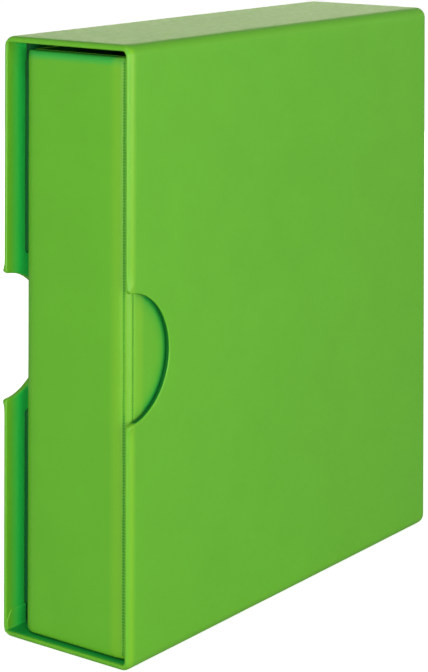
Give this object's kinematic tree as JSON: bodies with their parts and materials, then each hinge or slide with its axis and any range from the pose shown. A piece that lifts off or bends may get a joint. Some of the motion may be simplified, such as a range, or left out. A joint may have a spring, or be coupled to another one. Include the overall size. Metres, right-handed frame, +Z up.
{
  "type": "stamp album with slipcase",
  "caption": "Padded ring-binder stamp album standing in a leatherette-covered slipcase with thumb notches, with a two-lever ring mechanism and stock pages.",
  "frame": {"origin": "centre of the slipcase's underside", "axes": "+Z up; the slipcase's open mouth and the album's spine face -Y; X is the thickness, with the front cover on +X"},
  "size_m": [0.0886, 0.3, 0.325],
  "materials": {
    "leatherette": "grained green vinyl leatherette, soft sheen",
    "lining": "smooth green vinyl lining",
    "greyboard": "unprinted greyboard",
    "foam": "soft closed-cell padding sheet",
    "steel": "nickel-plated steel",
    "card": "black stock-page card",
    "foil": "clear pocket foil"
  },
  "bodies": {
    "slipcase": {"slipcase_outer_wrap": "leatherette", "slipcase_inner_lining": "lining", "slipcase_left_board": "greyboard", "slipcase_right_board": "greyboard", "slipcase_top_board": "greyboard", "slipcase_bottom_board": "greyboard", "slipcase_back_board": "greyboard"},
    "album": {"album_outer_wrap": "leatherette", "album_inner_lining": "lining", "front_cover_board": "greyboard", "front_cover_foam": "foam", "back_cover_board": "greyboard", "back_cover_foam": "foam", "spine_board": "greyboard", "spine_foam": "foam", "ring_housing": "steel", "top_mounting_rivet": "steel", "bottom_mounting_rivet": "steel", "top_lever_pin": "steel", "bottom_lever_pin": "steel", "stock_page_01": "card", "stock_page_02": "card", "stock_page_03": "card", "stock_page_04": "card", "stock_page_05": "card", "stock_page_06": "card", "stock_page_07": "card", "stock_page_08": "card", "stock_page_09": "card", "stock_page_10": "card", "pocket_foil_01": "foil", "pocket_foil_02": "foil", "pocket_foil_03": "foil", "pocket_foil_04": "foil", "pocket_foil_05": "foil", "pocket_foil_06": "foil", "pocket_foil_07": "foil", "pocket_foil_08": "foil", "pocket_foil_09": "foil", "pocket_foil_10": "foil"},
    "left_ring_carrier": {"left_carrier_plate": "steel", "left_ring_half_1": "steel", "left_ring_half_2": "steel", "left_ring_half_3": "steel", "left_ring_half_4": "steel"},
    "right_ring_carrier": {"right_carrier_plate": "steel", "right_ring_half_1": "steel", "right_ring_half_2": "steel", "right_ring_half_3": "steel", "right_ring_half_4": "steel"},
    "top_opening_lever": {"top_lever": "steel"},
    "bottom_opening_lever": {"bottom_lever": "steel"}
  },
  "joints": [
    {"name": "album_slide", "type": "slide", "parent": "slipcase", "child": "album", "axis": [0, -1, 0], "range_m": [0, 0.305]},
    {"name": "left_carrier_hinge", "type": "hinge", "parent": "album", "child": "left_ring_carrier", "pos_m": [-0.01055, -0.137, 0.1609], "axis": [0, 0, 1], "range_deg": [0, 12]},
    {"name": "right_carrier_hinge", "type": "hinge", "parent": "album", "child": "right_ring_carrier", "pos_m": [0.01865, -0.137, 0.1609], "axis": [0, 0, -1], "range_deg": [0, 12]},
    {"name": "top_lever_hinge", "type": "hinge", "parent": "album", "child": "top_opening_lever", "pos_m": [0.00405, -0.137, 0.2979], "axis": [1, 0, 0], "range_deg": [0, 36]},
    {"name": "bottom_lever_hinge", "type": "hinge", "parent": "album", "child": "bottom_opening_lever", "pos_m": [0.00405, -0.137, 0.0239], "axis": [-1, 0, 0], "range_deg": [0, 36]}
  ],
  "couplings": [
    {"joint": "right_carrier_hinge", "follows": "left_carrier_hinge", "ratio": 1},
    {"joint": "top_lever_hinge", "follows": "left_carrier_hinge", "ratio": 3},
    {"joint": "bottom_lever_hinge", "follows": "left_carrier_hinge", "ratio": 3}
  ]
}
